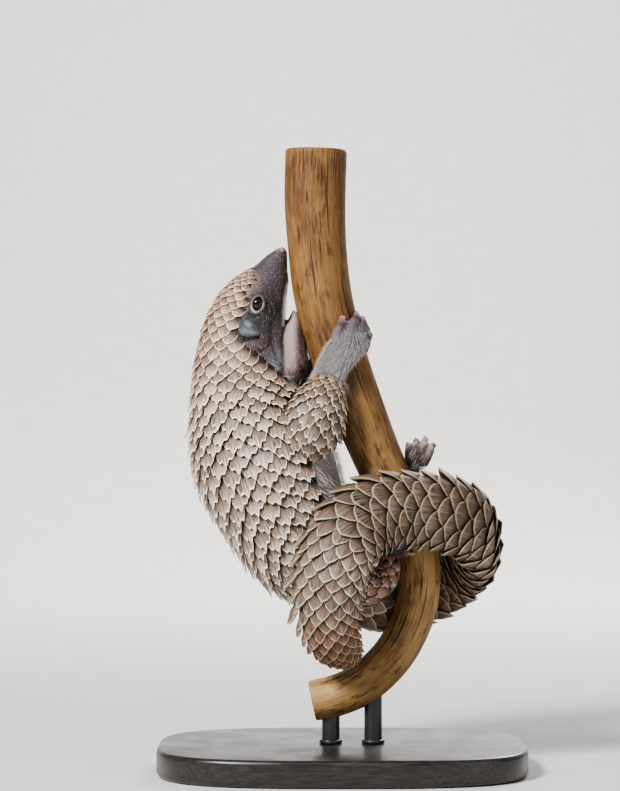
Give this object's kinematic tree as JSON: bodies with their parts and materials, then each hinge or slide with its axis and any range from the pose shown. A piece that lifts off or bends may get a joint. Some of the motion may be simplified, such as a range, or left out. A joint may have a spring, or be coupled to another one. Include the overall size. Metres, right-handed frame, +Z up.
{
  "type": "young tree pangolin model on a branch and display stand",
  "caption": "Life-size still model of a young tree pangolin clinging to a short curved branch with limbs and coiled tail, held on a plain flat display stand.",
  "frame": {"origin": "on the floor, under the middle of the stand's base and of the part's overall box", "axes": "+Z up, +X from the animal's back towards the branch and its belly, +Y from the animal's right side to its left side, away from the picture's camera"},
  "size_m": [0.166, 0.118, 0.2793],
  "materials": {
    "face_skin": "bare, finely wrinkled dark mauve-grey skin with short fine hair",
    "body_scales": "pale taupe-grey horn scales with fine lengthwise ridges and thin cream edges",
    "tail_scales": "taupe-brown horn scales with tan bases and cream rims",
    "ear_skin": "smooth blue-grey skin",
    "eye": "wet glossy near-black",
    "paw_fur": "short pale grey fur, bare mauve toe tips and horn claws",
    "branch_wood": "smooth golden-tan bark with brown patches",
    "rod_paint": "satin black",
    "base_paint": "satin black lacquer on wood"
  },
  "bodies": {
    "root": {"head": "face_skin", "neck": "body_scales", "torso": "body_scales", "ear_right": "ear_skin", "ear_left": "ear_skin", "eye_right": "eye", "eye_left": "eye", "foreleg_right": "body_scales", "foreleg_left": "body_scales", "hindleg_right": "body_scales", "hindleg_left": "body_scales", "hand_right": "paw_fur", "hand_left": "paw_fur", "foot_right": "paw_fur", "foot_left": "paw_fur", "tail_1": "tail_scales", "tail_2": "tail_scales", "tail_3": "tail_scales", "tail_4": "tail_scales", "tail_5": "tail_scales", "tail_6": "tail_scales", "perch_branch": "branch_wood", "stand_rod_1": "rod_paint", "stand_rod_2": "rod_paint", "stand_base": "base_paint"}
  },
  "joints": []
}
